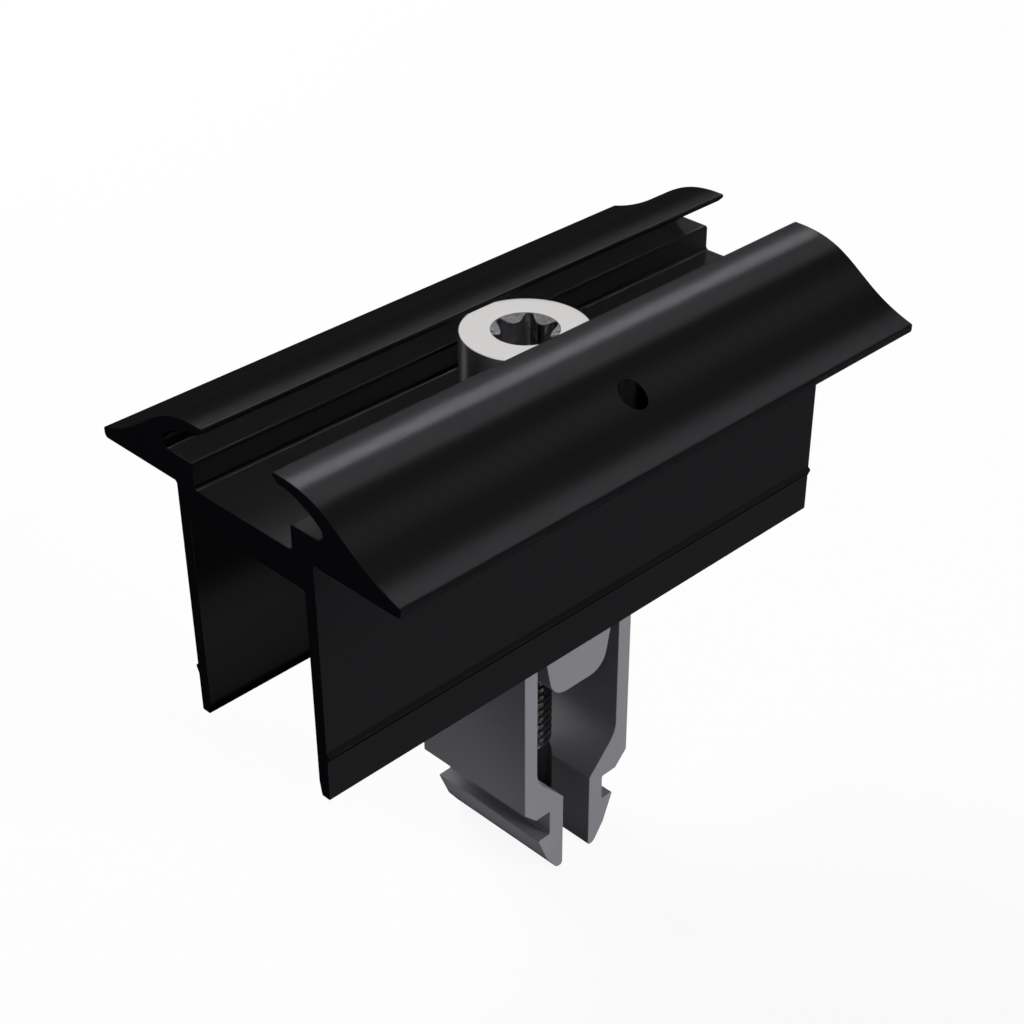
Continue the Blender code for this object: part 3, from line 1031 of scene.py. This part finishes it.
def soft_lamp(name, direction, size, level, distance=0.9):
    """A round lamp that lights a face turned towards it so that a colour renders at level times itself."""
    data = bpy.data.lights.new(name, "AREA")
    data.shape = "DISK"
    data.size = size
    data.energy = level * pi * pi * distance**2
    lamp = bpy.data.objects.new(name, data)
    bpy.context.scene.collection.objects.link(lamp)
    towards = Vector(direction).normalized()
    lamp.location = towards * distance + Vector((0, 0, CLAMP_MIDDLE))
    lamp.rotation_euler = towards.to_track_quat("Z", "Y").to_euler()
    lamp.visible_camera = False
    lamp.visible_glossy = False


soft_lamp("key", (0.35, -0.93, 0.12), 0.5, 1.05)
soft_lamp("back light", (0.0, 0.8, 0.6), 0.7, 0.7)

# %% [markdown]
# ### Cards
#
# White cards stand close to the clamp, where the lamps don't reach. Two lie below and in front, and show
# in the upright black faces. One lights the nut's left side. The narrow upright ones round the screw each
# draw a streak down its walls, its recess or its thread.

# %% Set cards close to the pieces


def card(name, lit, centre, size, radiance, turn=(0, 0, 0), shadows=True, sheen=True):
    """A white card close to the pieces it lights, in their sheen or in their matt light; mm and degrees."""
    data = bpy.data.lights.new(name, "AREA")
    data.shape = "RECTANGLE"
    data.size = size[0] * MM
    data.size_y = size[1] * MM
    data.energy = radiance * pi * data.size * data.size_y
    data.color = COOL_WHITE
    lamp = bpy.data.objects.new(name, data)
    bpy.context.scene.collection.objects.link(lamp)
    lamp.location = Vector(centre) * MM
    lamp.rotation_euler = [radians(a) for a in turn]
    lamp.visible_camera = False
    lamp.visible_glossy = sheen
    lamp.visible_diffuse = not sheen
    lamp.light_linking.receiver_collection = lit
    if not shadows:
        without_shadows(data)
    return lamp


card_up = nut_low.z + 1
card("wall card", only_profile, (60, -90, card_up), (500, 60), 1.6, (180, 0, 0), shadows=False)
card("leg card", only_profile, (20, -42, card_up), (400, 38), 2.2, (180, 0, 0))
card("nut card", only_nut, (-34, 0, card_up), (56, 30), 0.57, (180, 0, 0), sheen=False)


def screw_card(around, distance, up, width, radiance, height=20):
    """An upright card round the screw that makes a streak down its walls, its recess or its thread."""
    bearing = radians(around)
    towards = Vector((cos(bearing), sin(bearing), 0))
    place = (*(towards * distance).xy, up)
    streak = card("screw card", only_screw, place, (width, height), radiance, shadows=False)
    streak.data.color = (1, 1, 1)
    streak.rotation_euler = towards.to_track_quat("Z", "Y").to_euler()


wall_card_up = head_top - 23
thread_card_up = -4
screw_card(-95, 34, wall_card_up, 2, 2.0)
screw_card(-135, 34, wall_card_up, 1.5, 2.0)
screw_card(-160, 34, wall_card_up, 2, 2.0)
screw_card(105, 34, wall_card_up, 4, 0.28)
screw_card(-22, 21, thread_card_up, 6, 3.2, 30)
screw_card(-75, 21, thread_card_up, 6, 3.2, 30)

# %% [markdown]
# ### Flag and ring card
#
# Two more things show in the sheen only. A black disc under the clamp keeps the white floor out of the
# black faces, as a flag does, and a white ring above the screw's head gives its face an even light.

# %% Set the black flag and the ring card
FLAG_RADIUS = 0.15
FLAG_GAP = 0.05
RING_GAP = 0.2
RING_THICKNESS = 0.02


def seen_in_mirrors_only(piece):
    for ray in ("camera", "diffuse", "transmission", "volume_scatter", "shadow"):
        setattr(piece, "visible_" + ray, False)


bm = bmesh.new()
bmesh.ops.create_circle(bm, cap_ends=True, segments=64, radius=FLAG_RADIUS)
bmesh.ops.translate(bm, verts=bm.verts, vec=(0, 0, (nut_low.z - FLAG_GAP) * MM))
flag = made_object("black_flag", bm)
flag_black, tree = new_finish("black velvet")
velvet = add(tree, "ShaderNodeBsdfDiffuse", {"Color": linear("#050505")})
add(tree, "ShaderNodeOutputMaterial", {"Surface": velvet.outputs["BSDF"]})
flag.data.materials.append(flag_black)
seen_in_mirrors_only(flag)

ring_inner = RECESS_MOUTH - 0.35
ring_outer = channel_wall
ring_up = head_top + RING_GAP
ring_top = ring_up + RING_THICKNESS
ring = turned("ring_card", [
    (ring_inner, ring_up), (ring_outer, ring_up), (ring_outer, ring_top), (ring_inner, ring_top),
    (ring_inner, ring_up),
])
ring_white, tree = new_finish("white card")
card_white = add(tree, "ShaderNodeEmission", {"Color": (1, 1, 1, 1), "Strength": 1.0})
add(tree, "ShaderNodeOutputMaterial", {"Surface": card_white.outputs["Emission"]})
ring.data.materials.append(ring_white)
seen_in_mirrors_only(ring)

# %% [markdown]
# ## Camera
#
# The camera stands where the photograph was taken from, worked out from the bar's straight edges: to the
# left and in front, looking down by a little more than a third of a right angle. A small upward shift
# keeps the frame as it was cut.

# %% Place the camera
CAMERA_PLACE = (-0.118896, -0.118467, 0.145287)
CAMERA_HEADING = -44.566
CAMERA_DOWN = 34.198
CAMERA_ROLL = -0.262
camera_data = bpy.data.cameras.new("camera")
camera_data.sensor_width = 36
camera_data.lens = 68.97
camera_data.shift_x = 0.0019
camera_data.shift_y = 0.0399
camera_data.clip_start = 0.01
camera_data.clip_end = 10
camera = bpy.data.objects.new("camera", camera_data)
bpy.context.scene.collection.objects.link(camera)
heading = Matrix.Rotation(radians(CAMERA_HEADING), 4, "Z")
pitch = Matrix.Rotation(radians(90 - CAMERA_DOWN), 4, "X")
roll = Matrix.Rotation(radians(CAMERA_ROLL), 4, "Z")
camera.matrix_world = Matrix.Translation(CAMERA_PLACE) @ heading @ pitch @ roll
bpy.context.scene.camera = camera

# %% Finish
bpy.context.scene.view_settings.view_transform = "Standard"
